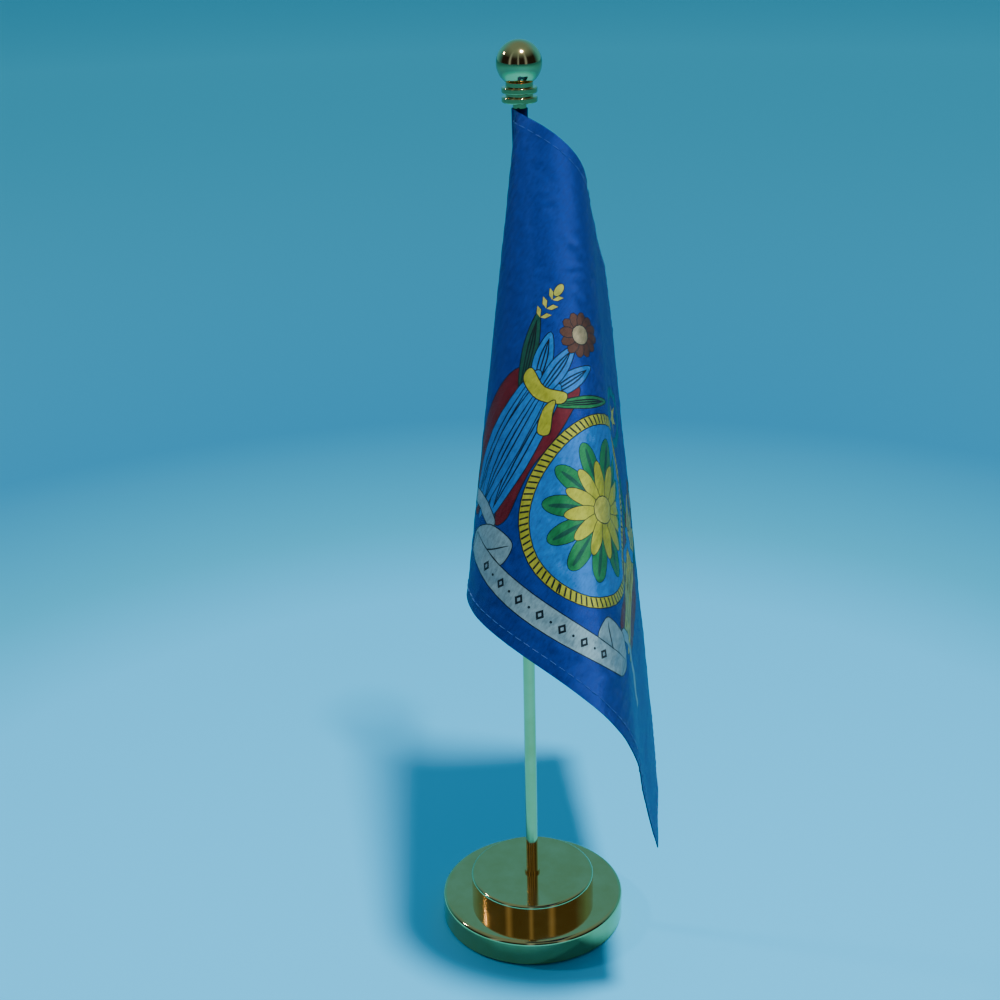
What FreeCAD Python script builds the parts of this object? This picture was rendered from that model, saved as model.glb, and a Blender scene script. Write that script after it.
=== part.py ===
"""Desk flag stand: a two-tier turned base, a round pole, a ball finial and a small hanging flag.

Millimetres, +Z up. The origin is the centre of the foot pad's underside, which stands on the desk.
The pole stands on +Z. The flag hangs from the pole's upper half: it leaves the pole towards -X and
-Y, turns round in front of it and trails back on the +X side.
"""
import FreeCAD, Part
import Sketcher
import math
import os

V = FreeCAD.Vector
DRIVING = {
    # foot pad and lower disc
    "pad_dia": 59.6, "pad_thick": 1.6, "pad_proud": 0.4, "pad_gap": 0.2,
    "lower_dia": 69.0, "lower_thick": 10.0, "lower_round": 1.5, "lower_chamfer": 0.5,
    # upper disc
    "upper_dia": 46.8, "upper_thick": 7.8, "upper_round": 1.0,
    # screws that join the discs
    "screw_circle": 29.0, "screw_dia": 3.0, "screw_length": 9.0, "screw_head_dia": 5.6,
    "screw_head_thick": 2.4, "screw_slot": 0.8, "counterbore_dia": 6.4, "counterbore_deep": 3.0,
    "screw_clearance_dia": 3.4, "tapped_dia": 3.04, "tapped_deep": 4.4,
    # nut that takes the pole's thread
    "nut_flats": 8.0, "nut_thick": 3.6, "nut_pocket_gap": 0.2, "running_dia": 4.5,
    # pole
    "pole_dia": 4.4, "pole_foot": 10.9, "pole_top": 314.3, "pole_end_chamfer": 0.4,
    "bore_dia": 4.8, "ring_dia": 5.8, "ring_thick": 1.1, "ring_gap": 0.05, "ring_bore_dia": 4.42,
    # finial
    "neck_foot": 310.5, "neck_dia": 8.8, "neck_tall": 6.3, "bead_dia": 11.5, "bead_thick": 1.9,
    "bead_groove": 1.05, "bead_round": 0.4, "neck_bore_deep": 4.1, "stud_dia": 3.0,
    "stud_foot": 314.8, "stud_length": 6.2, "ball_dia": 14.7, "ball_centre": 322.65,
    "ball_bore_top": 321.6,
    # flag
    "flag_fly": 210.0, "flag_hoist": 140.0, "flag_top": 308.6, "cloth_thick": 0.3,
    "sleeve_in_dia": 4.7, "sleeve_out_dia": 5.3, "seam_dia": 0.4, "seam_from_axis": 3.0,
    "panel_from_seam": 0.4,
}

doc = FreeCAD.newDocument("DeskFlagStand")
sheet = doc.addObject("Spreadsheet::Sheet", "Sheet")
for row, (alias, value) in enumerate(DRIVING.items(), start=1):
    sheet.set("A%d" % row, alias)
    sheet.set("B%d" % row, str(value))
    sheet.setAlias("B%d" % row, alias)
doc.recompute()


def size(alias):
    """A driving dimension, read back from the sheet."""
    return float(sheet.get(alias))


# ---------------------------------------------------------------- helpers for turned pieces

def origin_feature(body, role):
    return next(item for item in body.Origin.OriginFeatures if item.Role == role)


def new_body(label, foot):
    """A body whose local XY plane is its own foot, lifted to its height in the assembly."""
    body = doc.addObject("PartDesign::Body", label)
    body.Label = label
    body.setExpression("Placement.Base.z", foot)
    return body


def circle_sketch(body, name, diameter, level="0", from_axis=None):
    """One circle on the body's XY plane, raised to a level and, where asked, set off the axis."""
    sketch = body.newObject("Sketcher::SketchObject", name)
    sketch.AttachmentSupport = [(origin_feature(body, "XY_Plane"), "")]
    sketch.MapMode = "FlatFace"
    sketch.setExpression("AttachmentOffset.Base.z", level)
    start = 0.0 if from_axis is None else 10.0
    sketch.addGeometry(Part.Circle(V(start, 0, 0), V(0, 0, 1), 1.0), False)
    if from_axis is None:
        sketch.addConstraint(Sketcher.Constraint("Coincident", 0, 3, -1, 1))
    else:
        sketch.addConstraint(Sketcher.Constraint("PointOnObject", 0, 3, -1))
        sketch.addConstraint(Sketcher.Constraint("DistanceX", -1, 1, 0, 3, start))
        sketch.renameConstraint(1, "from_axis")
        sketch.setExpression("Constraints.from_axis", from_axis)
    last = sketch.addConstraint(Sketcher.Constraint("Diameter", 0, 2.0))
    sketch.renameConstraint(last, "wide")
    sketch.setExpression("Constraints.wide", diameter)
    return sketch


def hexagon_sketch(body, name, flats, level="0"):
    """A regular hexagon about the axis, driven by its width across flats."""
    sketch = body.newObject("Sketcher::SketchObject", name)
    sketch.AttachmentSupport = [(origin_feature(body, "XY_Plane"), "")]
    sketch.MapMode = "FlatFace"
    sketch.setExpression("AttachmentOffset.Base.z", level)
    corner = [V(4 * math.cos(math.radians(60 * i)), 4 * math.sin(math.radians(60 * i)), 0)
              for i in range(6)]
    for i in range(6):
        sketch.addGeometry(Part.LineSegment(corner[i], corner[(i + 1) % 6]), False)
    round_it = sketch.addGeometry(Part.Circle(V(0, 0, 0), V(0, 0, 1), 4.0), True)
    for i in range(6):
        sketch.addConstraint(Sketcher.Constraint("Coincident", i, 2, (i + 1) % 6, 1))
        sketch.addConstraint(Sketcher.Constraint("PointOnObject", i, 1, round_it))
        if i:
            sketch.addConstraint(Sketcher.Constraint("Equal", 0, i))
    sketch.addConstraint(Sketcher.Constraint("Coincident", round_it, 3, -1, 1))
    sketch.addConstraint(Sketcher.Constraint("PointOnObject", 0, 1, -1))
    last = sketch.addConstraint(Sketcher.Constraint("Diameter", round_it, 8.0))
    sketch.renameConstraint(last, "corners")
    sketch.setExpression("Constraints.corners", "(%s) / cos(30deg)" % flats)
    return sketch


def pad(body, sketch, length):
    feature = body.newObject("PartDesign::Pad", sketch.Name + "Pad")
    feature.Profile = sketch
    feature.setExpression("Length", length)
    doc.recompute()
    return feature


def pocket(body, sketch, depth=None, upward=False):
    """A cut from the sketch's level, downwards unless upward; right through when depth is left out."""
    before = body.Shape.Volume
    feature = body.newObject("PartDesign::Pocket", sketch.Name + "Pocket")
    feature.Profile = sketch
    feature.Reversed = upward
    if depth is None:
        feature.Type = "ThroughAll"
    else:
        feature.setExpression("Length", depth)
    doc.recompute()
    if body.Shape.Volume > before - 1e-6:
        raise RuntimeError("%s cut nothing" % feature.Name)
    return feature


def polar(body, features, count):
    pattern = body.newObject("PartDesign::PolarPattern", features[0].Name + "Polar")
    pattern.Originals = features
    pattern.Axis = (origin_feature(body, "Z_Axis"), [""])
    pattern.Angle = 360
    pattern.Occurrences = count
    body.Tip = pattern
    doc.recompute()
    return pattern


def rims(feature, level, radius):
    """The names of the circular edges of that radius about the axis, at that level."""
    found = []
    for index, edge in enumerate(feature.Shape.Edges, start=1):
        curve = edge.Curve
        if not isinstance(curve, Part.Circle) or abs(curve.Radius - radius) > 1e-4:
            continue
        if abs(curve.Center.z - level) < 1e-4 and math.hypot(curve.Center.x, curve.Center.y) < 1e-4:
            found.append("Edge%d" % index)
    if not found:
        raise RuntimeError("no rim at %g on %s" % (level, feature.Name))
    return found


def soften(body, kind, base, edges, amount):
    """A Fillet or Chamfer on those edges of the base feature."""
    feature = body.newObject("PartDesign::" + kind, "%s%s" % (body.Name, kind))
    feature.Base = (base, edges)
    feature.setExpression("Radius" if kind == "Fillet" else "Size", amount)
    doc.recompute()
    return feature


# ---------------------------------------------------------------- base

LOWER_FOOT = "Sheet.pad_proud"
UPPER_FOOT = "Sheet.pad_proud + Sheet.lower_thick"
BASE_TOP = "Sheet.pad_proud + Sheet.lower_thick + Sheet.upper_thick"
PAD_SEAT = "(Sheet.pad_thick - Sheet.pad_proud)"


def foot_pad():
    """A foam disc glued into the recess under the base, standing a little proud of it."""
    body = new_body("foot_pad", "0")
    pad(body, circle_sketch(body, "PadDisc", "Sheet.pad_dia"), "Sheet.pad_thick")


def lower_disc():
    """The wide turned disc: recessed for the pad, counterbored for the screws, rounded on top."""
    body = new_body("lower_disc", LOWER_FOOT)
    disc = pad(body, circle_sketch(body, "LowerDisc", "Sheet.lower_dia"), "Sheet.lower_thick")
    half = size("lower_dia") / 2
    disc = soften(body, "Fillet", disc, rims(disc, size("lower_thick"), half), "Sheet.lower_round")
    disc = soften(body, "Chamfer", disc, rims(disc, 0, half), "Sheet.lower_chamfer")
    pocket(body, circle_sketch(body, "PadSeat", "Sheet.pad_dia + 2 * Sheet.pad_gap"), PAD_SEAT, upward=True)
    through = pocket(body, circle_sketch(body, "ScrewHole", "Sheet.screw_clearance_dia",
                                         "Sheet.lower_thick", "Sheet.screw_circle / 2"))
    seat = pocket(body, circle_sketch(body, "HeadSeat", "Sheet.counterbore_dia", PAD_SEAT,
                                      "Sheet.screw_circle / 2"), "Sheet.counterbore_deep", upward=True)
    polar(body, [through, seat], 3)


def upper_disc():
    """The narrow turned disc: a bore for the pole, a pocket for its nut, tapped for the screws."""
    body = new_body("upper_disc", UPPER_FOOT)
    disc = pad(body, circle_sketch(body, "UpperDisc", "Sheet.upper_dia"), "Sheet.upper_thick")
    half = size("upper_dia") / 2
    soften(body, "Fillet", disc, rims(disc, size("upper_thick"), half), "Sheet.upper_round")
    pocket(body, circle_sketch(body, "PoleBore", "Sheet.bore_dia", "Sheet.upper_thick"))
    pocket(body, hexagon_sketch(body, "NutSeat", "Sheet.nut_flats + Sheet.nut_pocket_gap"),
           "Sheet.nut_thick + Sheet.nut_pocket_gap", upward=True)
    tapped = pocket(body, circle_sketch(body, "TappedHole", "Sheet.tapped_dia", "0",
                                        "Sheet.screw_circle / 2"), "Sheet.tapped_deep", upward=True)
    polar(body, [tapped], 3)


def captive_nut():
    """The hexagon nut that the pole screws into, held from turning by its pocket."""
    body = new_body("captive_nut", UPPER_FOOT)
    pad(body, hexagon_sketch(body, "NutHexagon", "Sheet.nut_flats"), "Sheet.nut_thick")
    pocket(body, circle_sketch(body, "NutBore", "Sheet.running_dia", "Sheet.nut_thick"))


def disc_screws():
    """Three pan-head screws, driven from below, that hold the two discs together."""
    seat = "Sheet.pad_proud + %s + Sheet.counterbore_deep" % PAD_SEAT
    screws = []
    for index in range(3):
        shank = doc.addObject("Part::Cylinder", "ScrewShank%d" % index)
        shank.setExpression("Radius", "Sheet.screw_dia / 2")
        shank.setExpression("Height", "Sheet.screw_length")
        shank.setExpression("Placement.Base.z", seat)
        head = doc.addObject("Part::Cylinder", "ScrewHead%d" % index)
        head.setExpression("Radius", "Sheet.screw_head_dia / 2")
        head.setExpression("Height", "Sheet.screw_head_thick")
        head.setExpression("Placement.Base.z", seat + " - Sheet.screw_head_thick")
        slot = doc.addObject("Part::Box", "ScrewSlot%d" % index)
        slot.setExpression("Length", "Sheet.screw_head_dia")
        slot.setExpression("Width", "Sheet.screw_slot")
        slot.setExpression("Height", "Sheet.screw_head_thick / 2")
        slot.setExpression("Placement.Base.x", "-Sheet.screw_head_dia / 2")
        slot.setExpression("Placement.Base.y", "-Sheet.screw_slot / 2")
        slot.setExpression("Placement.Base.z", seat + " - Sheet.screw_head_thick")
        whole = doc.addObject("Part::Fuse", "ScrewBlank%d" % index)
        whole.Base = shank
        whole.Tool = head
        screw = doc.addObject("Part::Cut", "DiscScrew%d" % index)
        screw.Base = whole
        screw.Tool = slot
        turn = 120 * index
        screw.Placement.Rotation = FreeCAD.Rotation(V(0, 0, 1), turn)
        screw.setExpression("Placement.Base.x", "Sheet.screw_circle / 2 * cos(%ddeg)" % turn)
        screw.setExpression("Placement.Base.y", "Sheet.screw_circle / 2 * sin(%ddeg)" % turn)
        screws.append(screw)
    group = doc.addObject("Part::Compound", "disc_screws")
    group.Label = "disc_screws"
    group.Links = screws


# ---------------------------------------------------------------- pole and finial

def pole():
    """The round rod, threaded at both ends; a thread is a plain cylinder of its outer diameter."""
    body = new_body("pole", "Sheet.pole_foot")
    rod = pad(body, circle_sketch(body, "PoleRod", "Sheet.pole_dia"), "Sheet.pole_top - Sheet.pole_foot")
    half = size("pole_dia") / 2
    ends = rims(rod, 0, half) + rims(rod, size("pole_top") - size("pole_foot"), half)
    soften(body, "Chamfer", rod, ends, "Sheet.pole_end_chamfer")


def foot_ring():
    """The small ring pressed on the pole's foot, which stops against the upper disc."""
    body = new_body("foot_ring", BASE_TOP + " + Sheet.ring_gap")
    pad(body, circle_sketch(body, "RingDisc", "Sheet.ring_dia"), "Sheet.ring_thick")
    pocket(body, circle_sketch(body, "RingBore", "Sheet.ring_bore_dia", "Sheet.ring_thick"))


def finial_neck():
    """The turned neck with its two beads, tapped below for the pole and above for the stud."""
    body = new_body("finial_neck", "Sheet.neck_foot")
    pad(body, circle_sketch(body, "NeckRod", "Sheet.neck_dia"), "Sheet.neck_tall")
    pad(body, circle_sketch(body, "LowBead", "Sheet.bead_dia"), "Sheet.bead_thick")
    step = size("bead_thick") + size("bead_groove")
    beads = pad(body, circle_sketch(body, "HighBead", "Sheet.bead_dia", "Sheet.bead_thick + Sheet.bead_groove"),
                "Sheet.bead_thick")
    half = size("bead_dia") / 2
    edges = []
    for level in (0, size("bead_thick"), step, step + size("bead_thick")):
        edges += rims(beads, level, half)
    soften(body, "Fillet", beads, edges, "Sheet.bead_round")
    pocket(body, circle_sketch(body, "StudHole", "Sheet.tapped_dia", "Sheet.neck_tall"))
    pocket(body, circle_sketch(body, "PoleHole", "Sheet.running_dia"), "Sheet.neck_bore_deep", upward=True)


def finial_stud():
    """The headless stud that joins the ball to the neck."""
    body = new_body("finial_stud", "Sheet.stud_foot")
    pad(body, circle_sketch(body, "StudRod", "Sheet.stud_dia"), "Sheet.stud_length")


def finial_ball():
    """The ball, faced flat where it sits on the neck and drilled for the stud."""
    seat = "Sheet.neck_foot + Sheet.neck_tall"
    sphere = doc.addObject("Part::Sphere", "BallSphere")
    sphere.setExpression("Radius", "Sheet.ball_dia / 2")
    sphere.setExpression("Placement.Base.z", "Sheet.ball_centre")
    facing = doc.addObject("Part::Box", "BallFacing")
    for side in ("Length", "Width", "Height"):
        facing.setExpression(side, "2 * Sheet.ball_dia")
    facing.setExpression("Placement.Base.x", "-Sheet.ball_dia")
    facing.setExpression("Placement.Base.y", "-Sheet.ball_dia")
    facing.setExpression("Placement.Base.z", seat + " - 2 * Sheet.ball_dia")
    hole = doc.addObject("Part::Cylinder", "BallHole")
    hole.setExpression("Radius", "Sheet.tapped_dia / 2")
    hole.setExpression("Height", "Sheet.ball_bore_top - (%s)" % seat)
    hole.setExpression("Placement.Base.z", seat)
    faced = doc.addObject("Part::Cut", "BallFaced")
    faced.Base = sphere
    faced.Tool = facing
    ball = doc.addObject("Part::Cut", "finial_ball")
    ball.Label = "finial_ball"
    ball.Base = faced
    ball.Tool = hole


# ---------------------------------------------------------------- flag
# The cloth is bent but not stretched, so it is made of straight rulings. The rulings of its first
# part fan out from a point above the flag's top corner, and those of the rest from a second point
# further up the ruling that the two parts share. Each fan's directions follow circular arcs on the
# unit sphere, given as (turn rate, degrees): a positive rate turns clockwise seen from above.

FIRST_APEX = 11.2
FIRST_HEADING = -125.6
FIRST_BENDS = ((-3.2, 8.9), (0.7, 12.6), (-7.1, 10.1))
SECOND_APEX = 158.0
SECOND_BENDS = ((-12.8, 9.3), (2.1, 4.1), (-1.85, 6.3), (0.1, 90.0))
CLEAR_OF_AXIS = 3.2
SEAM_HEADING = FIRST_HEADING + 14.0


def bend(direction, heading, rate, angle):
    """Carry a ruling's direction, and its heading, along a circular arc on the unit sphere."""
    axis = direction.cross(heading) + direction * rate
    turn = FreeCAD.Rotation(axis, math.degrees(angle) * axis.Length)
    return turn.multVec(direction), turn.multVec(heading)


def follow(direction, heading, bends, angle):
    """Go through the bends in turn until the angle is used up."""
    for rate, span in bends:
        used = min(angle, math.radians(span))
        direction, heading = bend(direction, heading, rate, used)
        angle -= used
    return direction, heading


def cloth_point(along, down):
    """A point of the flag, from its distances along the fly and down from the top edge."""
    shared = math.radians(sum(span for _, span in FIRST_BENDS))
    start = V(0, 0, -1)
    heading = V(math.cos(math.radians(FIRST_HEADING)), math.sin(math.radians(FIRST_HEADING)), 0)
    apex = V(0, 0, size("flag_top") + FIRST_APEX)
    angle = math.atan2(along, down + FIRST_APEX)
    if angle <= shared:
        direction = follow(start, heading, FIRST_BENDS, angle)[0]
        point = apex + direction * math.hypot(along, down + FIRST_APEX)
    else:
        direction, heading = follow(start, heading, FIRST_BENDS, shared)
        apex -= direction * SECOND_APEX
        along += SECOND_APEX * math.sin(shared)
        down += FIRST_APEX + SECOND_APEX * math.cos(shared)
        ruling = follow(direction, heading, SECOND_BENDS, math.atan2(along, down) - shared)[0]
        point = apex + ruling * math.hypot(along, down)
    from_axis = math.hypot(point.x, point.y)
    push = math.hypot(from_axis, CLEAR_OF_AXIS) / max(from_axis, 1e-6)
    return V(point.x * push, point.y * push, point.z)


def cloth_normal(along, down, step=0.5):
    """The cloth's unit normal, from its slopes along and across."""
    fly = cloth_point(along + step, down) - cloth_point(along - step, down)
    hoist = cloth_point(along, down + step) - cloth_point(along, down - step)
    return fly.cross(hoist).normalize()


def spread(first, last, count):
    return [first + (last - first) * i / (count - 1) for i in range(count)]


def skin(points):
    surface = Part.BSplineSurface()
    surface.interpolate(points)
    return surface


def flag_panel():
    """The panel, one thin closed solid: the cloth's back skin, thickened towards its front."""
    alongs = spread(size("panel_from_seam"), size("flag_fly"), 57)
    downs = spread(0.0, size("flag_hoist"), 17)
    lift = -size("cloth_thick") / 2
    back = skin([[cloth_point(a, d) + cloth_normal(a, d) * lift for d in downs] for a in alongs])
    panel = doc.addObject("Part::Feature", "flag_panel")
    panel.Label = "flag_panel"
    panel.Shape = back.toShape().makeOffsetShape(size("cloth_thick"), 1e-3, fill=True)
    panel.Placement = FreeCAD.Placement()


def flag_sleeve():
    """The pocket sewn round the pole, as a thin tube that runs freely on it."""
    body = new_body("flag_sleeve", "Sheet.flag_top - Sheet.flag_hoist")
    pad(body, circle_sketch(body, "SleeveTube", "Sheet.sleeve_out_dia"), "Sheet.flag_hoist")
    pocket(body, circle_sketch(body, "SleeveBore", "Sheet.sleeve_in_dia", "Sheet.flag_hoist"))


def sleeve_seam():
    """The line of stitches that closes the pocket, beside the sleeve where the panel leaves it."""
    seam = doc.addObject("Part::Cylinder", "sleeve_seam")
    seam.Label = "sleeve_seam"
    seam.setExpression("Radius", "Sheet.seam_dia / 2")
    seam.setExpression("Height", "Sheet.flag_hoist - 2 * Sheet.seam_dia")
    seam.setExpression("Placement.Base.x", "Sheet.seam_from_axis * cos(%gdeg)" % SEAM_HEADING)
    seam.setExpression("Placement.Base.y", "Sheet.seam_from_axis * sin(%gdeg)" % SEAM_HEADING)
    seam.setExpression("Placement.Base.z", "Sheet.flag_top - Sheet.flag_hoist + Sheet.seam_dia")


# ---------------------------------------------------------------- build, check and write

NODES = (foot_pad, lower_disc, disc_screws, upper_disc, captive_nut, pole, foot_ring,
         finial_neck, finial_stud, finial_ball, flag_sleeve, flag_panel, sleeve_seam)
for make in NODES:
    make()
doc.recompute()
for item in doc.Objects:
    if "Invalid" in item.State or "Error" in item.State:
        raise RuntimeError("%s did not recompute: %s" % (item.Name, item.State))
os.makedirs("parts", exist_ok=True)
for make in NODES:
    node = doc.getObjectsByLabel(make.__name__)[0]
    if node.Shape.isNull() or not node.Shape.isValid():
        raise RuntimeError("%s has no valid shape" % node.Label)
    node.Shape.exportStep("parts/%s.step" % node.Label)
    box = node.Shape.BoundBox
    print("%-12s %9.1f mm3  z %6.2f to %6.2f" % (node.Label, node.Shape.Volume, box.ZMin, box.ZMax))
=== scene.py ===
"""Desk flag stand: mirror-polished gold base, pole and finial, with a printed satin flag hanging from it.

Metres, +Z up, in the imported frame. The flag's cloth is made as a flat printed sheet, bent into its
hanging shape, settled a little by cloth simulation and given its thickness.
"""
import math

import bpy
import numpy as np
from mathutils import Matrix, Vector, geometry


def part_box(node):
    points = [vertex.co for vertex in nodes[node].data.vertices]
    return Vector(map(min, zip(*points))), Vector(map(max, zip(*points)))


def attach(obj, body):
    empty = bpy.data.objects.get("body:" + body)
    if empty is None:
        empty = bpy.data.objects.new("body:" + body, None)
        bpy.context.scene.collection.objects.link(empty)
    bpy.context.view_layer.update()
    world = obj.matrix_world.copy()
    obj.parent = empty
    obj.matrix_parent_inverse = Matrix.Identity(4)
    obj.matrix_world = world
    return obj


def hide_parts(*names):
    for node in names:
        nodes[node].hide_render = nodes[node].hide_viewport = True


MM = 0.001
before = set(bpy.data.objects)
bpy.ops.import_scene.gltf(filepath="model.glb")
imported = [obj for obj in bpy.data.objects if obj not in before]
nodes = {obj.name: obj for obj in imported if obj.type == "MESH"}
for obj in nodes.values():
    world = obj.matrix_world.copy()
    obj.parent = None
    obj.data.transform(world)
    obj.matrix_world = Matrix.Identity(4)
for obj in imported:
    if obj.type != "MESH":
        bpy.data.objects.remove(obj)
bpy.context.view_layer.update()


# ---------------------------------------------------------------- material helpers

def new_material(name, **values):
    """A Principled material whose named sockets hold those plain values."""
    made = bpy.data.materials.new(name)
    made.use_nodes = True
    shader = made.node_tree.nodes["Principled BSDF"]
    for key, value in values.items():
        shader.inputs[key.replace("_", " ")].default_value = value
    return made, made.node_tree.nodes, made.node_tree.links, shader


def add(tree_nodes, kind, **settings):
    node = tree_nodes.new("ShaderNode" + kind)
    for key, value in settings.items():
        if key in node.inputs:
            node.inputs[key].default_value = value
        else:
            setattr(node, key, value)
    return node


def ramp(tree_nodes, links, source, stops):
    """A colour ramp over a factor: stops are (place, colour or grey)."""
    node = tree_nodes.new("ShaderNodeValToRGB")
    links.new(source, node.inputs["Fac"])
    elements = node.color_ramp.elements
    while len(elements) < len(stops):
        elements.new(0.5)
    for element, (place, colour) in zip(elements, stops):
        element.position = place
        element.color = (*colour, 1) if hasattr(colour, "__len__") else (colour, colour, colour, 1)
    return node.outputs["Color"]


def maths(tree_nodes, links, operation, first, second=None):
    node = tree_nodes.new("ShaderNodeMath")
    node.operation = operation
    for socket, value in zip(node.inputs, (first, second)):
        if value is None:
            continue
        if isinstance(value, (int, float)):
            socket.default_value = value
        else:
            links.new(value, socket)
    return node.outputs[0]


def bump(tree_nodes, links, shader, height, distance, strength=1.0):
    node = add(tree_nodes, "Bump", Strength=strength, Distance=distance)
    links.new(height, node.inputs["Height"])
    links.new(node.outputs["Normal"], shader.inputs["Normal"])
    return node


# ---------------------------------------------------------------- metals and foam

def gold():
    """Mirror-polished gold plate: faint turning rings and finger haze."""
    made, nt, links, shader = new_material("gold_plate", Metallic=1.0, Specular_IOR_Level=0.5)
    place = add(nt, "TexCoord").outputs["Object"]
    haze = add(nt, "TexNoise", Scale=90.0, Detail=4.0, Roughness=0.6)
    links.new(place, haze.inputs["Vector"])
    tint = ramp(nt, links, haze.outputs["Fac"], [(0.30, (0.84, 0.45, 0.16)), (0.75, (0.94, 0.55, 0.24))])
    links.new(tint, shader.inputs["Base Color"])
    apart = add(nt, "SeparateXYZ")
    links.new(place, apart.inputs["Vector"])
    across = maths(nt, links, "POWER", apart.outputs["X"], 2.0)
    along = maths(nt, links, "POWER", apart.outputs["Y"], 2.0)
    radius = maths(nt, links, "SQRT", maths(nt, links, "ADD", across, along))
    ring_place = add(nt, "CombineXYZ")
    links.new(radius, ring_place.inputs["X"])
    links.new(apart.outputs["Z"], ring_place.inputs["Z"])
    rings = add(nt, "TexNoise", Scale=2600.0, Detail=2.0)
    links.new(ring_place.outputs[0], rings.inputs["Vector"])
    rub = ramp(nt, links, haze.outputs["Fac"], [(0.35, 0.035), (0.8, 0.13)])
    links.new(rub, shader.inputs["Roughness"])
    bump(nt, links, shader, rings.outputs["Fac"], 0.000004)
    return made


def zinc():
    """Zinc-plated steel of the hidden fasteners, with a blotchy passivated bloom."""
    made, nt, links, shader = new_material("zinc_steel", Metallic=1.0)
    place = add(nt, "TexCoord").outputs["Object"]
    bloom = add(nt, "TexNoise", Scale=700.0, Detail=5.0)
    links.new(place, bloom.inputs["Vector"])
    tint = ramp(nt, links, bloom.outputs["Fac"], [(0.3, (0.50, 0.51, 0.54)), (0.7, (0.72, 0.72, 0.70))])
    links.new(tint, shader.inputs["Base Color"])
    links.new(ramp(nt, links, bloom.outputs["Fac"], [(0.3, 0.28), (0.7, 0.45)]), shader.inputs["Roughness"])
    bump(nt, links, shader, bloom.outputs["Fac"], 0.00002)
    return made


def foam():
    """Black closed-cell foam: fine open pores on its cut face, painted darker in their pits as painted
    shade.
    """
    made, nt, links, shader = new_material("foot_foam", Metallic=0.0)
    place = add(nt, "TexCoord").outputs["Object"]
    cells = add(nt, "TexVoronoi", Scale=1800.0)
    links.new(place, cells.inputs["Vector"])
    depth = cells.outputs["Distance"]
    # the tint is darker where the pores are deepest: painted shade in the pits
    tint = ramp(nt, links, depth, [(0.1, (0.012, 0.012, 0.013)), (0.7, (0.04, 0.04, 0.042))])
    links.new(tint, shader.inputs["Base Color"])
    links.new(ramp(nt, links, depth, [(0.1, 0.95), (0.7, 0.75)]), shader.inputs["Roughness"])
    bump(nt, links, shader, depth, 0.0001)
    return made


def dress(material, *names):
    """Put one material on whole CAD nodes."""
    for name in names:
        mesh = nodes[name].data
        mesh.materials.clear()
        mesh.materials.append(material)


dress(gold(), "lower_disc", "upper_disc", "pole", "foot_ring", "finial_neck", "finial_ball")
dress(zinc(), "disc_screws", "captive_nut", "finial_stud")
dress(foam(), "foot_pad")


# ---------------------------------------------------------------- flag: hanging shape
# The cloth is bent but not stretched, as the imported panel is: straight rulings that fan out from a
# point above its top corner, then from a second point further up the ruling that both parts share.
# A bend is (turn rate, degrees): a circular arc of the rulings' directions on the unit sphere.

FLY = 210 * MM
HOIST = 140 * MM
FLAG_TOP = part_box("flag_sleeve")[1][2]
FIRST_APEX = 11.2 * MM
FIRST_HEADING = math.radians(-125.6)
FIRST_BENDS = ((-3.2, 8.9), (0.7, 12.6), (-7.1, 10.1))
SECOND_APEX = 158.0 * MM
SECOND_BENDS = ((-12.8, 9.3), (2.1, 4.1), (-1.85, 6.3), (0.1, 90.0))
CLEAR_OF_AXIS = 3.2 * MM
CLOTH_GRID = (85, 57)
SIMULATED_SCALE = 10.0
HOLD_OF_CREASES = 0.25
SETTLING_FRAMES = 20


def bend(direction, heading, rate, angle):
    """Directions and headings after turning by each angle along an arc on the unit sphere."""
    axis = np.cross(direction, heading) + rate * direction
    speed = np.linalg.norm(axis)
    axis = axis / speed
    turn = np.asarray(angle)[..., None] * speed

    def spun(vector):
        return (vector * np.cos(turn) + np.cross(axis, vector) * np.sin(turn)
                + axis * (axis @ vector) * (1 - np.cos(turn)))
    return spun(direction), spun(heading)


def follow(direction, heading, bends, angle):
    """Each angle's direction along the bends, and the frame where the last bend ends."""
    found = np.zeros(angle.shape + (3,))
    begin = 0.0
    for rate, span in bends:
        here = angle >= begin
        found[here] = bend(direction, heading, rate, angle[here] - begin)[0]
        ends = bend(direction, heading, rate, [math.radians(span)])
        direction, heading = ends[0][0], ends[1][0]
        begin += math.radians(span)
    return found, direction, heading


def hung_cloth(along, down):
    """Where points of the flag hang, from their distances along the fly and down the hoist."""
    shared = math.radians(sum(span for _, span in FIRST_BENDS))
    heading = np.array([math.cos(FIRST_HEADING), math.sin(FIRST_HEADING), 0.0])
    apex = np.array([0.0, 0.0, FLAG_TOP + FIRST_APEX])
    angle = np.arctan2(along, down + FIRST_APEX)
    rulings, direction, heading = follow(np.array([0.0, 0.0, -1.0]), heading, FIRST_BENDS,
                                         np.minimum(angle, shared))
    first = apex + rulings * np.hypot(along, down + FIRST_APEX)[..., None]
    along = along + SECOND_APEX * math.sin(shared)
    down = down + FIRST_APEX + SECOND_APEX * math.cos(shared)
    beyond = np.maximum(np.arctan2(along, down) - shared, 0.0)
    rulings = follow(direction, heading, SECOND_BENDS, beyond)[0]
    second = apex - direction * SECOND_APEX + rulings * np.hypot(along, down)[..., None]
    points = np.where((angle > shared)[..., None], second, first)
    from_axis = np.hypot(points[..., 0], points[..., 1])
    push = np.hypot(from_axis, CLEAR_OF_AXIS) / np.maximum(from_axis, 1e-9)
    return points * np.stack([push, push, np.ones_like(push)], axis=-1)


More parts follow.
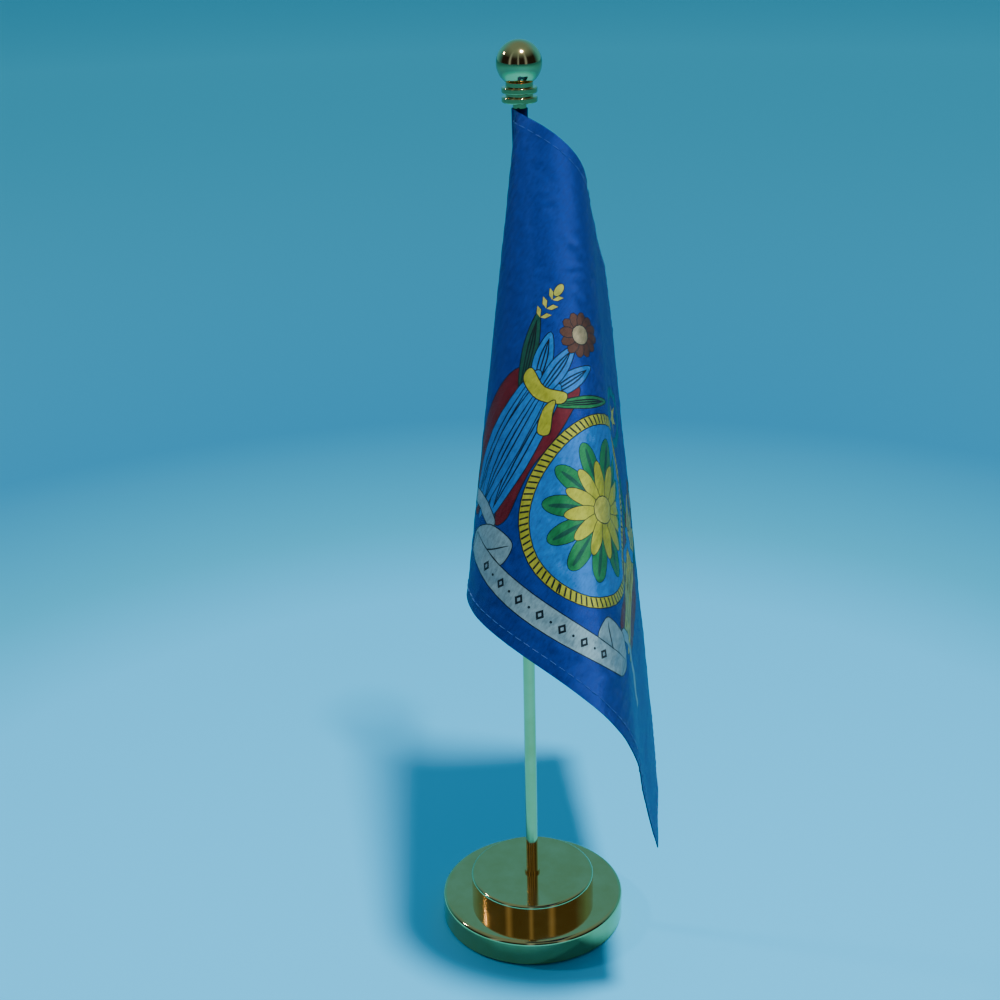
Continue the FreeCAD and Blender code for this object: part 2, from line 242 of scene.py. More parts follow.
def settle(points):
    """Let the cloth settle for a moment: fixed along its pocket, and its creases held by a goal weight."""
    rows, columns = points.shape[:2]
    mesh = bpy.data.meshes.new("settling")
    quads = [(i * columns + j, (i + 1) * columns + j, (i + 1) * columns + j + 1, i * columns + j + 1)
             for i in range(rows - 1) for j in range(columns - 1)]
    mesh.from_pydata((points * SIMULATED_SCALE).reshape(-1, 3).tolist(), [], quads)
    hanging = bpy.data.objects.new("settling", mesh)
    bpy.context.collection.objects.link(hanging)
    held = hanging.vertex_groups.new(name="held")
    held.add(list(range(columns, rows * columns)), HOLD_OF_CREASES, "REPLACE")
    held.add(list(range(columns)), 1.0, "REPLACE")
    modifier = hanging.modifiers.new("Cloth", "CLOTH")
    cloth = modifier.settings
    cloth.quality = 10
    cloth.mass = 0.15
    cloth.air_damping = 4.0
    cloth.tension_stiffness = cloth.compression_stiffness = 60.0
    cloth.shear_stiffness = 40.0
    cloth.bending_stiffness = 12.0
    cloth.tension_damping = cloth.compression_damping = cloth.shear_damping = 20.0
    cloth.bending_damping = 2.0
    cloth.vertex_group_mass = "held"
    modifier.collision_settings.use_collision = False
    modifier.point_cache.frame_end = SETTLING_FRAMES
    scene = bpy.context.scene
    for step in range(1, SETTLING_FRAMES + 1):
        scene.frame_set(step)
    settled = hanging.evaluated_get(bpy.context.evaluated_depsgraph_get())
    found = np.empty(rows * columns * 3)
    settled.data.vertices.foreach_get("co", found)
    scene.frame_set(1)
    bpy.data.objects.remove(hanging)
    return found.reshape(rows, columns, 3) / SIMULATED_SCALE


# ---------------------------------------------------------------- flag: the print
# Drawn flat in millimetres from the middle of the emblem, +x along the fly and +y up. Each entry
# is (ink, outline), painted in order, so a later shape covers what lies under it.

INKS = {
    "blue": (0.002, 0.022, 0.165), "line": (0.004, 0.006, 0.010), "sky": (0.012, 0.110, 0.340),
    "robe": (0.012, 0.115, 0.340), "skin": (0.240, 0.160, 0.090), "hair": (0.070, 0.022, 0.014),
    "red": (0.110, 0.006, 0.012), "yellow": (0.330, 0.270, 0.018), "gold": (0.380, 0.300, 0.045),
    "green": (0.012, 0.125, 0.038), "pine": (0.005, 0.050, 0.032), "white": (0.180, 0.240, 0.270),
    "grey": (0.170, 0.230, 0.270), "teal": (0.006, 0.100, 0.140),
}
LINE = 0.35
prints = []


def smooth(points, steps=5):
    """A closed curve that runs through the points."""
    here = np.array(points, float)
    before, after, second = (np.roll(here, shift, axis=0) for shift in (1, -1, -2))
    t = (np.arange(steps) / steps)[:, None, None]
    curve = (2 * here + (after - before) * t + (2 * before - 5 * here + 4 * after - second) * t ** 2
             + (3 * here - before - 3 * after + second) * t ** 3) / 2
    return curve.swapaxes(0, 1).reshape(-1, 2)


def swollen(outline, by):
    """The outline moved outwards along its own normals."""
    edge = np.roll(outline, -1, axis=0) - np.roll(outline, 1, axis=0)
    normal = np.stack([edge[:, 1], -edge[:, 0]], axis=1)
    normal /= np.maximum(np.linalg.norm(normal, axis=1, keepdims=True), 1e-9)
    x, y = outline.T
    counterclockwise = np.sum(x * np.roll(y, -1) - np.roll(x, -1) * y) > 0
    return outline + normal * (by if counterclockwise else -by)


def plain(ink, outline):
    prints.append((ink, np.array(outline, float)))


def inked(ink, outline, line=LINE):
    """A shape with a dark line round it."""
    outline = np.array(outline, float)
    plain("line", swollen(outline, line))
    plain(ink, outline)


def stroke(ink, points, wide, steps=4):
    """An open line through the points, fullest in its middle and fine at its ends."""
    here = np.array(points, float)
    ends = np.vstack([2 * here[0] - here[1], here, 2 * here[-1] - here[-2]])
    t = (np.arange(steps) / steps)[:, None, None]
    a, b, c, d = ends[:-3], ends[1:-2], ends[2:-1], ends[3:]
    line = ((2 * b + (c - a) * t + (2 * a - 5 * b + 4 * c - d) * t ** 2
             + (3 * b - a - 3 * c + d) * t ** 3) / 2).swapaxes(0, 1).reshape(-1, 2)
    line = np.vstack([line, here[-1]])
    along = np.gradient(line, axis=0)
    across = np.stack([-along[:, 1], along[:, 0]], axis=1)
    across /= np.maximum(np.linalg.norm(across, axis=1, keepdims=True), 1e-9)
    half = wide / 2 * np.sqrt(np.sin(np.linspace(0.12, math.pi - 0.12, len(line))))[:, None]
    plain(ink, np.vstack([line + across * half, (line - across * half)[::-1]]))


def oval(centre, across, tall, turn=0.0, sides=14):
    """An ellipse, turned by that many degrees."""
    angle = np.arange(sides) * 2 * math.pi / sides
    x, y = across / 2 * np.cos(angle), tall / 2 * np.sin(angle)
    cos, sin = math.cos(math.radians(turn)), math.sin(math.radians(turn))
    return np.stack([centre[0] + x * cos - y * sin, centre[1] + x * sin + y * cos], axis=1)


def flipped(outline, side):
    return np.array(outline, float) * (side, 1)


def supporter(side, leaves, sash, wrap):
    """A tied bundle of long leaves with a flower head, beside the medallion."""
    def draw(ink, points, line=LINE):
        inked(ink, flipped(smooth(points), side), line)

    draw(wrap, [(43.5, 13), (49, 11), (51.5, -2), (50.5, -18), (45, -31), (39, -34), (42, -22), (44, -6)])
    draw(wrap, [(31.5, 15), (29, 18.5), (27.2, 14), (26.4, 0), (27.4, -12), (25.6, -28), (28.6, -31.5),
                (31, -20)])
    for tip, base, wide, ink in (((52.6, 30), (44, 8), 4.4, "pine"), ((16.5, 24), (31, 10), 3.6, "green"),
                                 ((46, 27), (40, 9), 5.6, leaves), ((29, 27), (36, 9), 5.6, leaves),
                                 ((42, -34), (42, 12), 8, leaves), ((31.5, -33), (34.5, 12), 8, leaves),
                                 ((37, -35), (38.4, 12), 8, leaves), ((37.6, 28), (38, 9), 5.6, leaves)):
        tip, base = np.array(tip, float), np.array(base, float)
        across = np.array([-(tip - base)[1], (tip - base)[0]]) / np.linalg.norm(tip - base) * wide / 2
        middle = base + (tip - base) * 0.55
        draw(ink, [base - across * 0.5, base + across * 0.5, middle + across, tip, middle - across])
        for shift in (-0.4, 0.0, 0.4):
            vein = [base + across * shift * 0.6, middle + across * shift, tip - (tip - base) * 0.1]
            stroke("line", flipped(vein, side), 0.5)
    draw(sash, [(44.6, 14.4), (38, 11.6), (31.4, 14), (31.0, 10.4), (38, 7.4), (44.8, 10.2)])
    draw(sash, [(33, 10), (34.4, 6), (32, -1), (28.8, 0.4), (31.4, 6)])
    for degrees in range(0, 360, 30):
        angle = math.radians(degrees)
        middle = (37.8 + 4.6 * math.cos(angle), 32.6 + 4.6 * math.sin(angle))
        inked("hair", flipped(oval(middle, 3.2, 5.2, degrees - 90, 10), side), 0.25)
    inked("skin", flipped(oval((37.8, 32.6), 6, 6), side), 0.3)
    for height, reach in ((29, 2.6), (32.4, 2.8), (35.8, 2.6)):
        for lean in (-1, 1):
            tip = (51.5 + lean * reach, height + 2.6)
            middle = (51.5 + lean * reach * 0.6, height + 0.6), (51.5 + lean * reach * 0.4, height + 2.2)
            inked("gold", flipped([(51.4, height), middle[0], tip, middle[1]], side), 0.25)
    inked("gold", flipped(oval((51.5, 39.6), 2.4, 4.4), side), 0.25)


MEDALLION = [(0, -37), (11, -34.5), (19.5, -27), (23.8, -17.5), (25, -7), (23.8, 3.5), (19.5, 13),
             (11, 20.5)]


def medallion():
    """An oval medallion in a corded border: a daisy among leaves on a plain light-blue ground."""
    right = np.array(MEDALLION, float)
    outline = smooth(np.vstack([right, [(0, 23)], right[:0:-1] * (-1, 1)]), 3)
    inked("sky", outline)
    for degrees in range(0, 360, 30):
        out = np.array([math.cos(math.radians(degrees)), math.sin(math.radians(degrees)) * 1.15])
        middle = np.array([0.0, -7.0])
        inked("green", smooth(oval(middle + out * 14.2, 6.4, 14, degrees - 90, 8), 3), 0.25)
        stroke("pine", [middle + out * 9, middle + out * 15, middle + out * 19], 1.4)
    for degrees in range(15, 375, 30):
        middle = (9.0 * math.cos(math.radians(degrees)), -7 + 9.0 * math.sin(math.radians(degrees)))
        inked("yellow", smooth(oval(middle, 4.2, 12.5, degrees - 90, 8), 3), 0.25)
    inked("gold", oval((0, -7), 8.4, 8.4))
    cord(outline)


def cord(outline):
    """A gold cord round the medallion, twisted: dark turns across a yellow band."""
    closed = np.vstack([outline, outline[:1]])
    following = np.roll(np.arange(len(outline)), -1)
    for ink, half in (("line", 1.85), ("yellow", 1.5)):
        inner, outer = swollen(outline, -half), swollen(outline, half)
        for first, second in enumerate(following):
            plain(ink, [inner[first], inner[second], outer[second], outer[first]])
    steps = np.linalg.norm(np.diff(closed, axis=0), axis=1)
    reach = np.concatenate([[0], np.cumsum(steps)])
    for place in np.arange(0.6, reach[-1], 1.9):
        side = min(np.searchsorted(reach, place, side="right") - 1, len(steps) - 1)
        along = (closed[side + 1] - closed[side]) / steps[side]
        across = np.array([along[1], -along[0]]) * 1.4
        middle = closed[side] + along * (place - reach[side])
        plain("line", [middle - across - along * 0.7, middle - across - along * 0.1,
                       middle + across + along * 0.7, middle + across + along * 0.1])


def ribbon():
    """The blank scroll below: a sagging band, two curled ends and two tails, with small ornaments."""
    for side in (-1, 1):
        tail = [(30, -34), (40, -31.4), (52, -33.4), (62, -36.6), (61, -33), (50, -28.6), (38, -27.6),
                (29, -31)]
        inked("grey", flipped(smooth(tail), side))
        inked("white", flipped(smooth([(35, -44.6), (36.6, -39), (29.6, -33.2), (20.4, -33.4), (18.6, -37),
                                       (20, -42), (28, -41)]), side))
        stroke("line", flipped([(20, -35), (25, -39.2), (32, -42.6)], side), 0.5)
    across = np.linspace(-35, 35, 15)
    sag = 6.0 * (1 - (across / 35) ** 2)
    upper = np.stack([across, -38.6 - sag * 0.75], axis=1)
    lower = np.stack([across, -44.8 - sag], axis=1)
    inked("white", np.vstack([upper, lower[::-1]]))
    for index, x in enumerate(np.linspace(-24, 24, 13)):
        y = -41.7 - 5.25 * (1 - (x / 35) ** 2)
        if index % 2:
            plain("line", oval((x, y), 0.9, 0.9, 0, 8))
        else:
            plain("line", [(x - 1.5, y), (x, y - 1.9), (x + 1.5, y), (x, y + 1.9)])
            plain("grey", [(x - 0.6, y), (x, y - 0.8), (x + 0.6, y), (x, y + 0.8)])


def crest():
    """A laurel wreath round a plain gold star, above the medallion."""
    for degrees in range(-60, 241, 20):
        angle = math.radians(degrees)
        middle = (8.4 * math.cos(angle), 34 + 8.4 * math.sin(angle))
        inked("teal", smooth(oval(middle, 2.6, 5.6, degrees + 25, 6), 3), 0.25)
    angles = np.radians(90 + 36 * np.arange(10))
    radii = np.where(np.arange(10) % 2, 2.1, 5.0)
    inked("gold", np.stack([radii * np.cos(angles), 34 + radii * np.sin(angles)], axis=1))


crest()
supporter(-1, "robe", "yellow", "red")
supporter(1, "gold", "robe", "red")
ribbon()
medallion()


# ---------------------------------------------------------------- flag: the cut and sewn pieces

# Places on the flat sheet are in millimetres along the fly and down the hoist from its top corner at the
# pole; thicknesses are in metres.

EMBLEM_AT = (101.0, 80.0)
FIRST_EDGE = -0.1
FLAG_EDGE = 0.4
HEM_WIDE = 4.0
CROWDED = 0.4
STITCH_PITCH = 3.2
HEM_STITCH = 2.3
CLOTH_THICK = 0.22 * MM
HEM_THICK = 0.16 * MM
THREAD_THICK = 0.22 * MM
POCKET_INNER = 2.38 * MM
POCKET_OUTER = 2.57 * MM
POCKET_GATHER = 0.07 * MM
POCKET_HEM = 0.04 * MM
SATIN_ROUGH = 0.42
SATIN_GLOSS = 0.4


def sample(grid, along, down):
    """Points of the settled grid at those distances in millimetres, between its knots by cubics."""
    u = np.clip((along - FLAG_EDGE) / (FLY / MM - FLAG_EDGE), 0, 1) * (grid.shape[0] - 1)
    v = np.clip(down / (HOIST / MM), 0, 1) * (grid.shape[1] - 1)

    def weights(place, count):
        first = np.clip(np.floor(place).astype(int), 0, count - 2)
        t = place - first
        share = np.stack([-t + 2 * t ** 2 - t ** 3, 2 - 5 * t ** 2 + 3 * t ** 3,
                          t + 4 * t ** 2 - 3 * t ** 3, -t ** 2 + t ** 3], axis=-1) / 2
        return first, share

    padded = np.pad(grid, ((1, 1), (1, 1), (0, 0)), mode="reflect", reflect_type="odd")
    i, across = weights(u, grid.shape[0])
    j, along_down = weights(v, grid.shape[1])
    found = np.zeros(u.shape + (3,))
    for a in range(4):
        for b in range(4):
            found += padded[i + a, j + b] * (across[..., a] * along_down[..., b])[..., None]
    return found


def cloth_at(grid, along, down):
    """Points of the middle of the cloth and its normal there, which points to the flag's back."""
    step = 0.5
    here = sample(grid, along, down)
    run = sample(grid, along + step, down) - sample(grid, along - step, down)
    fall = sample(grid, along, down + step) - sample(grid, along, down - step)
    normal = np.cross(run, fall)
    normal /= np.linalg.norm(normal, axis=-1, keepdims=True)
    inwards = here * (-1, -1, 0)
    inwards /= np.linalg.norm(inwards, axis=-1, keepdims=True)
    return here + inwards * (np.maximum(FLAG_EDGE - along, 0) * MM)[..., None], normal


def inside(outline, points):
    """Which of the points lie inside the closed outline."""
    found = np.zeros(len(points), bool)
    x, y = points.T
    for (x1, y1), (x2, y2) in zip(outline, np.roll(outline, -1, axis=0)):
        if y1 == y2:
            continue
        crosses = (y1 > y) != (y2 > y)
        found ^= crosses & (x < x1 + (y - y1) * (x2 - x1) / (y2 - y1))
    return found


def cut_sheet():
    """The flat sheet as triangles whose edges follow the print, and each triangle's ink."""
    along = np.concatenate([[FIRST_EDGE, FLAG_EDGE], np.linspace(2.5, FLY / MM - HEM_WIDE, 82), [FLY / MM]])
    down = np.concatenate([[0.0], np.linspace(HEM_WIDE, HOIST / MM - HEM_WIDE, 54), [HOIST / MM]])
    knots = np.stack(np.meshgrid(along, down, indexing="ij"), axis=-1).reshape(-1, 2)
    outlines = [np.array(EMBLEM_AT) + shape * (1, -1) for _, shape in prints]
    drawn = np.vstack(outlines)
    inner = ((knots > (3, 5)) & (knots < (FLY / MM - 6, HOIST / MM - 5))).all(axis=1)
    crowded = np.zeros(len(knots), bool)
    for block in np.array_split(np.flatnonzero(inner), 24):
        apart = np.linalg.norm(knots[block, None] - drawn[None], axis=-1)
        crowded[block] = apart.min(axis=1) < CROWDED
    knots = knots[~crowded]
    edges, base = [], len(knots)
    for shape in outlines:
        count = len(shape)
        edges += [(base + i, base + (i + 1) % count) for i in range(count)]
        base += count
    flat = [Vector(p) for p in np.vstack([knots, drawn])]
    points, _, faces, _, _, _ = geometry.delaunay_2d_cdt(flat, edges, [], 0, 1e-4)
    points = np.array([tuple(p) for p in points])
    faces = np.array([f for f in faces if len(f) == 3])
    corner = points[faces]
    spread = np.cross(corner[:, 1] - corner[:, 0], corner[:, 2] - corner[:, 0])
    faces = faces[np.abs(spread) > 1e-7]
    spread = spread[np.abs(spread) > 1e-7]
    faces[spread < 0] = faces[spread < 0][:, ::-1]
    middles = points[faces].mean(axis=1)
    names = list(INKS)
    ink = np.full(len(faces), names.index("blue"))
    for (name, _), shape in zip(prints, outlines):
        low, high = shape.min(axis=0), shape.max(axis=0)
        near = np.flatnonzero(((middles >= low) & (middles <= high)).all(axis=1))
        ink[near[inside(shape, middles[near])]] = names.index(name)
    return points, faces, ink


def build_cloth(grid):
    """The flag: printed front, faded back, folded hems and the cut edge round it, one closed shell."""
    flat, faces, ink = cut_sheet()
    count = len(flat)
    at, normal = cloth_at(grid, flat[:, 0], flat[:, 1])
    from_edge = np.minimum(np.minimum(flat[:, 1], HOIST / MM - flat[:, 1]), FLY / MM - flat[:, 0])
    hem = np.clip((HEM_WIDE + 0.15 - from_edge) / 0.3, 0, 1)
    front = at - normal * CLOTH_THICK / 2
    back = at + normal * (CLOTH_THICK / 2 + hem * HEM_THICK)[:, None]
    directed = np.vstack([faces[:, [0, 1]], faces[:, [1, 2]], faces[:, [2, 0]]])
    _, first, uses = np.unique(np.sort(directed, axis=1), axis=0, return_index=True, return_counts=True)
    rim = directed[first[uses == 1]]
    # the flat sheet's second axis runs down the hoist, so a positive turn in it faces the flag's back
    triangles = np.vstack([faces[:, ::-1], faces + count])
    quads = np.stack([rim[:, 0], rim[:, 1], rim[:, 1] + count, rim[:, 0] + count], axis=1)
    mesh = bpy.data.meshes.new("flag_cloth")
    mesh.from_pydata(np.vstack([front, back]).tolist(), [], triangles.tolist() + quads.tolist())
    colours = np.array([INKS[name] for name in INKS])
    faded = colours * 0.55 + colours[0] * 0.30
    own = np.vstack([colours[ink], faded[ink], np.repeat(colours[:1], len(quads), axis=0)])
    sizes = np.concatenate([np.full(len(triangles), 3), np.full(len(quads), 4)])
    paint = mesh.color_attributes.new("print", "FLOAT_COLOR", "CORNER")
    corners = np.ones((len(mesh.loops), 4))
    corners[:, :3] = np.repeat(own, sizes, axis=0)
    paint.data.foreach_set("color", corners.ravel())
    place = mesh.attributes.new("flat", "FLOAT_VECTOR", "POINT")
    weave = np.zeros((2 * count, 3))
    weave[:, :2] = np.vstack([flat, flat])
    place.data.foreach_set("vector", weave.ravel())
    mesh.polygons.foreach_set("use_smooth", np.arange(len(triangles) + len(quads)) < len(triangles))
    mesh.validate()
    mesh.update()
    mesh.normals_split_custom_set_from_vertices(np.vstack([-normal, normal]).tolist())
    cloth = bpy.data.objects.new("flag_cloth", mesh)
    bpy.context.collection.objects.link(cloth)
    mesh.materials.append(satin("flag_satin", printed=True))
    return cloth


def satin(name, printed=False):
    """Polyester satin: blue or printed, with a slubby grain, a fine weave and a soft sheen."""
    made, nt, links, shader = new_material(name, Roughness=SATIN_ROUGH, Metallic=SATIN_GLOSS,
                                           Sheen_Weight=0.03, Sheen_Roughness=0.4, Specular_IOR_Level=0.15)
    if printed:
        place = add(nt, "Attribute", attribute_name="flat").outputs["Vector"]
        unit = 1.0
    else:
        place = add(nt, "TexCoord").outputs["Object"]
        unit = 1 / MM
    stretched = add(nt, "Mapping", Scale=(unit * 1.1, unit * 0.42, unit * 0.42))
    links.new(place, stretched.inputs["Vector"])
    slub = add(nt, "TexNoise", Scale=1.0, Detail=5.0, Roughness=0.65)
    links.new(stretched.outputs[0], slub.inputs["Vector"])
    shade = ramp(nt, links, slub.outputs["Fac"], [(0.28, 0.62), (0.72, 1.25)])
    mix = add(nt, "Mix", data_type="RGBA", blend_type="MULTIPLY")
    mix.inputs["Factor"].default_value = 1.0
    if printed:
        links.new(add(nt, "Attribute", attribute_name="print").outputs["Color"], mix.inputs["A"])
    else:
        mix.inputs["A"].default_value = (*INKS["blue"], 1)
    links.new(shade, mix.inputs["B"])
    links.new(mix.outputs["Result"], shader.inputs["Base Color"])
    threads = add(nt, "Mapping", Scale=(unit * 5.0, unit * 5.0, unit * 5.0))
    links.new(place, threads.inputs["Vector"])
    weave = add(nt, "TexWave", Scale=1.0, Distortion=1.5, Detail=1.0)
    links.new(threads.outputs[0], weave.inputs["Vector"])
    fine = maths(nt, links, "MULTIPLY", weave.outputs["Fac"], 0.25)
    height = maths(nt, links, "ADD", slub.outputs["Fac"], fine)
    rough = ramp(nt, links, slub.outputs["Fac"], [(0.3, SATIN_ROUGH - 0.06), (0.7, SATIN_ROUGH + 0.08)])
    links.new(rough, shader.inputs["Roughness"])
    bump(nt, links, shader, height, 0.00012, 0.8)
    return made


def build_pocket():
    """The pocket round the pole: a folded tube, a little gathered, with turned ends."""
    (_, _, low), (_, _, high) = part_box("flag_sleeve")
    around, rows = 56, 120
    angle = np.arange(around) * 2 * math.pi / around
    height = np.linspace(0, 1, rows)
    lift, turn = np.meshgrid(height, angle, indexing="ij")
    gather = (np.sin(turn * 3 + np.sin(lift * 23) * 1.6) + np.sin(turn * 5 - lift * 41)) * 0.5
    outer = POCKET_OUTER + POCKET_GATHER * gather
    from_end = np.minimum(lift, 1 - lift) * (high - low) / MM
    hems = np.clip((HEM_WIDE - from_end) / 0.4, 0, 1) * POCKET_HEM
    outer = outer + np.where(gather < 0.6, hems, 0)
    inner = np.full_like(outer, POCKET_INNER)
    tall = low + lift * (high - low)
    shell = [np.stack([radius * np.cos(turn), radius * np.sin(turn), tall], axis=-1).reshape(-1, 3)
             for radius in (outer, inner)]
    size = rows * around
    faces = []
    for i in range(rows - 1):
        for j in range(around):
            k = (j + 1) % around
            a, b, c, d = i * around + j, i * around + k, (i + 1) * around + k, (i + 1) * around + j
            faces += [(a, b, c, d), (d + size, c + size, b + size, a + size)]
    for j in range(around):
        k, top = (j + 1) % around, (rows - 1) * around
        faces += [(j, j + size, k + size, k), (top + k, top + k + size, top + j + size, top + j)]
    mesh = bpy.data.meshes.new("flag_pocket")
    mesh.from_pydata(np.vstack(shell).tolist(), [], faces)
    mesh.polygons.foreach_set("use_smooth", np.ones(len(faces), bool))
    mesh.update()
    mesh.materials.append(satin("pocket_satin"))
    pocket = bpy.data.objects.new("flag_pocket", mesh)
    bpy.context.collection.objects.link(pocket)
    return pocket


def build_stitches(grid):
    """Lockstitch on both faces: a row beside the pocket, and one along each of the three hems."""
    runs = []
    inset = HEM_WIDE - 0.6
    fly_row = FLY / MM - inset
    for side in (-1, 1):
        for t in np.arange(1.0, HOIST / MM - 2.5, STITCH_PITCH):
            runs.append(((1.3, t), (1.3, t + 2.5), side))
        for t in (inset, HOIST / MM - inset):
            runs += [((s, t), (s + HEM_STITCH, t), side) for s in np.arange(2.5, FLY / MM - 6, STITCH_PITCH)]
        for t in np.arange(inset + 1.0, HOIST / MM - inset - 3, STITCH_PITCH):
            runs.append(((fly_row, t), (fly_row, t + HEM_STITCH), side))
    radius, around, rings = THREAD_THICK / 2, 6, 5
    angle = np.arange(around) * 2 * math.pi / around
    points, faces = [], []
    for start, end, side in runs:
        share = np.linspace(0, 1, rings)
        line = np.array(start) + (np.array(end) - np.array(start)) * share[:, None]
        at, normal = cloth_at(grid, line[:, 0], line[:, 1])
        normal = normal * side
        thick = CLOTH_THICK / 2 + (HEM_THICK if side > 0 and start[0] > 2 else 0)
        dip = np.sin(share * math.pi)
        at = at + normal * (thick + radius * (0.15 + 0.55 * dip))[:, None]
        forward = np.gradient(at, axis=0)
        forward /= np.linalg.norm(forward, axis=1, keepdims=True)
        across = np.cross(forward, normal)
        base = len(points)
        for ring in range(rings):
            wide = radius * (0.55 + 0.45 * dip[ring])
            for a in angle:
                points.append(at[ring] + (across[ring] * math.cos(a) + normal[ring] * math.sin(a)) * wide)
        for ring in range(rings - 1):
            for j in range(around):
                k = (j + 1) % around
                a, b = base + ring * around, base + (ring + 1) * around
                faces.append((a + j, b + j, b + k, a + k))
        faces.append(tuple(base + j for j in range(around)))
        faces.append(tuple(base + (rings - 1) * around + j for j in reversed(range(around))))
    mesh = bpy.data.meshes.new("flag_stitches")
    mesh.from_pydata([tuple(p) for p in points], [], faces)
    mesh.polygons.foreach_set("use_smooth", np.ones(len(faces), bool))
    mesh.update()
    mesh.materials.append(thread())
    stitches = bpy.data.objects.new("flag_stitches", mesh)
    bpy.context.collection.objects.link(stitches)
    return stitches


def thread():
    """Spun polyester sewing thread: blue, with a fine twist."""
    made, nt, links, shader = new_material("sewing_thread", Roughness=0.6, Sheen_Weight=0.3)
    place = add(nt, "TexCoord").outputs["Object"]
    twist = add(nt, "TexNoise", Scale=4000.0, Detail=2.0)
    links.new(place, twist.inputs["Vector"])
    tint = ramp(nt, links, twist.outputs["Fac"], [(0.3, (0.006, 0.045, 0.20)), (0.7, (0.016, 0.10, 0.36))])
    links.new(tint, shader.inputs["Base Color"])
    bump(nt, links, shader, twist.outputs["Fac"], 0.00003)
    return made


along_fly = np.linspace(FLAG_EDGE * MM, FLY, CLOTH_GRID[0])
down_hoist = np.linspace(0, HOIST, CLOTH_GRID[1])
hanging = hung_cloth(*np.meshgrid(along_fly, down_hoist, indexing="ij"))
hanging = settle(hanging)

flag_cloth = build_cloth(hanging)
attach(flag_cloth, "flag_panel")
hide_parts("flag_panel")
flag_stitches = build_stitches(hanging)
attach(flag_stitches, "flag_panel")
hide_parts("sleeve_seam")
flag_pocket = build_pocket()
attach(flag_pocket, "flag_sleeve")
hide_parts("flag_sleeve")


# ---------------------------------------------------------------- stage, light and camera

def stage_floor():
    """A wide pale-blue paper floor with painted light: lighter round the stand (a painted pool of light),
    darker behind it (painted shade) and pale again far off.
    """
    made, nt, links, shader = new_material("floor_paper", Roughness=0.75)
    place = add(nt, "TexCoord").outputs["Object"]
    reach = add(nt, "VectorMath", operation="LENGTH")
    links.new(place, reach.inputs[0])
    # painted light: the floor's colour is lighter round the stand and darker further off, by distance from
    # it
    painted_light = ramp(nt, links, maths(nt, links, "MULTIPLY", reach.outputs["Value"], 0.25), FLOOR_PAINTED_LIGHT)
    links.new(painted_light, shader.inputs["Base Color"])
    mesh = bpy.data.meshes.new("floor")
    count, radius = 96, 30.0
    ring = [(radius * math.cos(2 * math.pi * i / count), radius * math.sin(2 * math.pi * i / count), 0.0)
            for i in range(count)]
    mesh.from_pydata(ring, [], [tuple(range(count))])
    mesh.materials.append(made)
    floor = bpy.data.objects.new("floor", mesh)
    bpy.context.collection.objects.link(floor)


def soft_light(name, place, aim, size, power, colour=(1, 1, 1)):
    data = bpy.data.lights.new(name, "AREA")
    data.shape = "DISK"
    data.size = size
    data.energy = power
    data.color = colour
    lamp = bpy.data.objects.new(name, data)
    lamp.location = place
    lamp.rotation_euler = (Vector(aim) - Vector(place)).to_track_quat("-Z", "Y").to_euler()
    bpy.context.collection.objects.link(lamp)
    return lamp


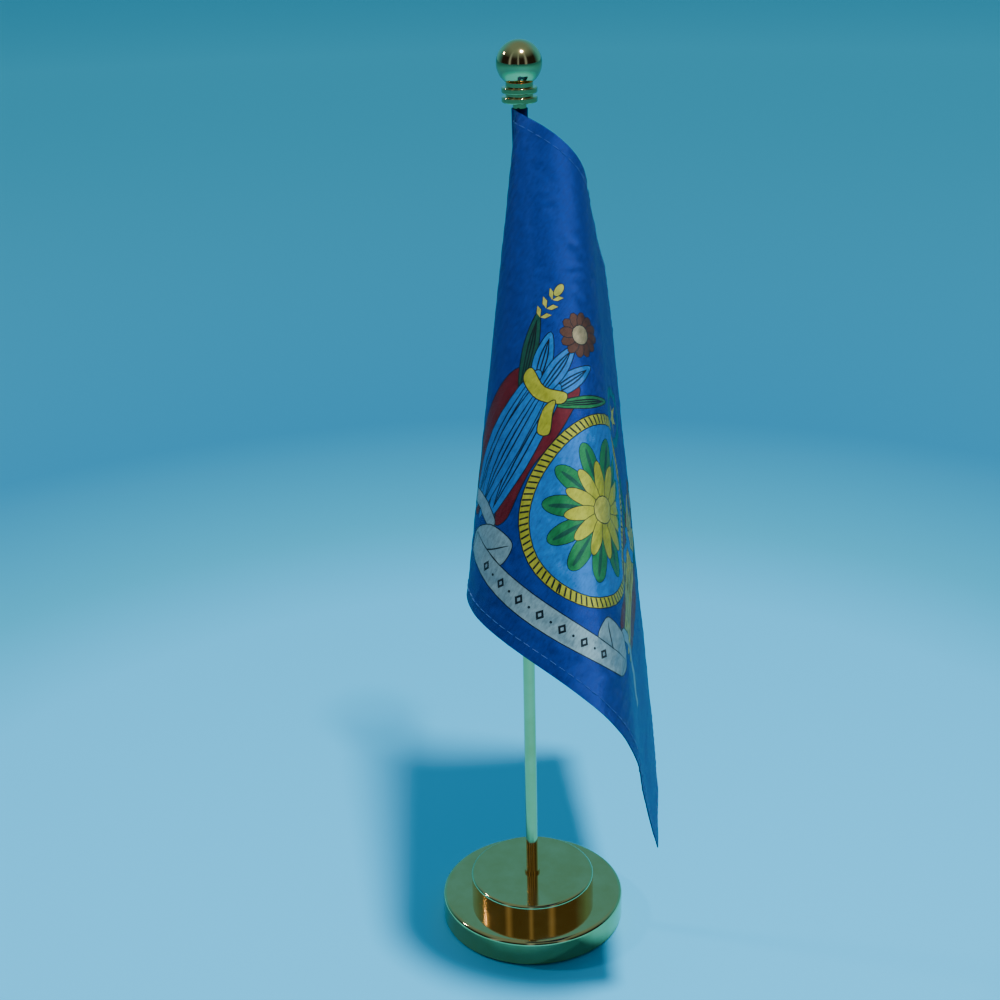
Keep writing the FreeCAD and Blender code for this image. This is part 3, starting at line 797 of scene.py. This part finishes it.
def surroundings():
    """A dim studio: a blue backdrop behind, a dark room in front with lit streaks, a soft ceiling."""
    world = bpy.data.worlds.new("studio")
    bpy.context.scene.world = world
    world.use_nodes = True
    nt, links = world.node_tree.nodes, world.node_tree.links
    sky = nt["Background"]
    place = add(nt, "TexCoord").outputs["Generated"]
    apart = add(nt, "SeparateXYZ")
    links.new(place, apart.inputs["Vector"])
    bearing = maths(nt, links, "ARCTAN2", apart.outputs["Y"], apart.outputs["X"])
    share = maths(nt, links, "ADD", maths(nt, links, "MULTIPLY", bearing, 0.5 / math.pi), 0.5)
    round_about = ramp(nt, links, share, ROOM_TONES)
    ceiling = add(nt, "Mix", data_type="RGBA")
    ceiling.inputs["B"].default_value = (*CEILING, 1)
    links.new(ramp(nt, links, apart.outputs["Z"], [(0.45, 0.0), (0.90, 1.0)]), ceiling.inputs["Factor"])
    links.new(round_about, ceiling.inputs["A"])
    links.new(ceiling.outputs["Result"], sky.inputs["Color"])
    sky.inputs["Strength"].default_value = SKY_STRENGTH


def set_camera():
    """A normal lens a little above the finial, looking down at the stand."""
    data = bpy.data.cameras.new("camera")
    data.lens = CAMERA_LENS
    data.sensor_width = 36.0
    data.clip_start = 0.01
    data.clip_end = 100.0
    camera = bpy.data.objects.new("camera", data)
    pan, tilt, roll = (math.radians(angle) for angle in CAMERA_TURN)
    lifted = Matrix.Rotation(pan, 4, "Z") @ Matrix.Rotation(math.pi / 2 - tilt, 4, "X")
    camera.matrix_world = Matrix.Translation(CAMERA_AT) @ lifted @ Matrix.Rotation(roll, 4, "Z")
    bpy.context.collection.objects.link(camera)
    bpy.context.scene.camera = camera


# the floor's colours by distance from the stand: a painted pool of light near it, painted shade beyond, pale
# again far off
FLOOR_PAINTED_LIGHT = [(0.07, (0.035, 0.530, 0.890)), (0.095, (0.008, 0.390, 0.600)), (0.14, (0.004, 0.240, 0.440)),
               (0.60, (0.070, 0.720, 0.950))]
BACKDROP = (0.08, 0.64, 1.00)
ROOM = (0.020, 0.026, 0.028)
LIT = (0.36, 0.66, 0.92)
ROOM_TONES = [(0.0, ROOM), (0.10, ROOM), (0.125, LIT), (0.15, ROOM), (0.23, ROOM), (0.245, LIT),
              (0.26, ROOM), (0.33, ROOM), (0.355, LIT), (0.38, ROOM), (0.50, ROOM), (0.60, BACKDROP),
              (0.88, BACKDROP), (1.0, ROOM)]
CEILING = (0.20, 0.44, 0.50)
SKY_STRENGTH = 0.7
CAMERA_LENS = 60.0
CAMERA_AT = Vector((0.01768, -0.53703, 0.39957))
CAMERA_TURN = (2.862, 22.83, -1.329)
KEY_AT = (0.285, -0.534, 1.486)
SECOND_AT = (-1.15, 0.24, 1.02)

stage_floor()
surroundings()
soft_light("key", KEY_AT, (0, 0, 0.12), 0.16, 38.0, (0.74, 0.96, 1.0))
soft_light("second", SECOND_AT, (0, 0, 0.12), 0.12, 4.5, (0.74, 0.96, 1.0))
set_camera()
